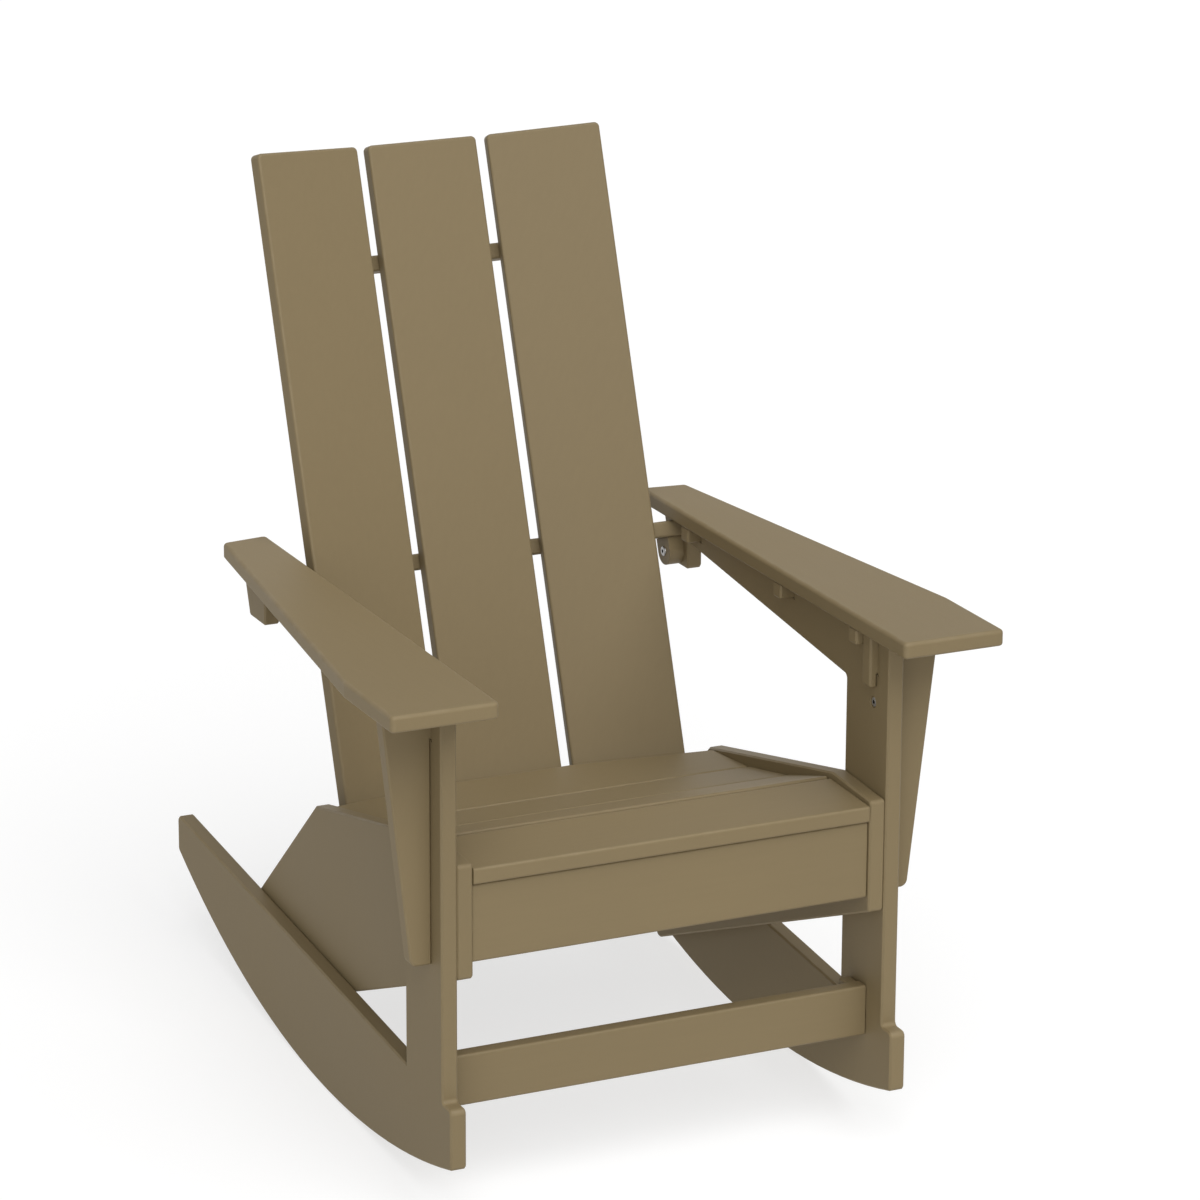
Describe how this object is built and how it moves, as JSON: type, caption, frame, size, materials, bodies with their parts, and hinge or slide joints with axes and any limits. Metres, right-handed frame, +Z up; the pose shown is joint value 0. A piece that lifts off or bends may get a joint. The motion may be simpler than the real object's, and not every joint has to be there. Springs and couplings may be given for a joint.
{
  "type": "rocking chair",
  "caption": "Slatted plastic-lumber garden rocking chair with flat arms, a fanned high back and plate-cut side frames with rockers.",
  "frame": {"origin": "on the floor under the middle of the chair, half way from the front of the arms to the rear tips of the rockers, with the empty chair at rest on its rockers, rolled back 3.9 degrees from level arms", "axes": "+X to the right in a front view, which is the sitter's left; -Y is the way the chair faces; +Z is up"},
  "size_m": [0.73, 0.8474, 0.9971],
  "materials": {
    "plastic_lumber": "matt, weathered tan",
    "stainless_bolts": "satin stainless steel"
  },
  "bodies": {
    "root": {"apron": "plastic_lumber", "left_apron_block": "plastic_lumber", "left_arm": "plastic_lumber", "left_arm_bracket": "plastic_lumber", "left_arm_cleat_front": "plastic_lumber", "left_arm_cleat_middle": "plastic_lumber", "left_arm_cleat_rear": "plastic_lumber", "left_back_slat": "plastic_lumber", "left_back_tab": "plastic_lumber", "left_lower_back_tab": "plastic_lumber", "left_seat_batten": "plastic_lumber", "left_seat_rail": "plastic_lumber", "left_side_frame": "plastic_lumber", "left_stretcher_block": "plastic_lumber", "lower_back_rail": "plastic_lumber", "middle_back_rail": "plastic_lumber", "middle_back_slat": "plastic_lumber", "right_apron_block": "plastic_lumber", "right_arm": "plastic_lumber", "right_arm_bracket": "plastic_lumber", "right_arm_cleat_front": "plastic_lumber", "right_arm_cleat_middle": "plastic_lumber", "right_arm_cleat_rear": "plastic_lumber", "right_back_slat": "plastic_lumber", "right_back_tab": "plastic_lumber", "right_lower_back_tab": "plastic_lumber", "right_seat_batten": "plastic_lumber", "right_seat_rail": "plastic_lumber", "right_side_frame": "plastic_lumber", "right_stretcher_block": "plastic_lumber", "seat_slat_1": "plastic_lumber", "seat_slat_2": "plastic_lumber", "seat_slat_3": "plastic_lumber", "seat_slat_4": "plastic_lumber", "stretcher": "plastic_lumber", "upper_back_rail": "plastic_lumber", "back_bolts": "stainless_bolts", "bracket_bolts": "stainless_bolts", "seat_rail_bolts": "stainless_bolts"}
  },
  "joints": []
}
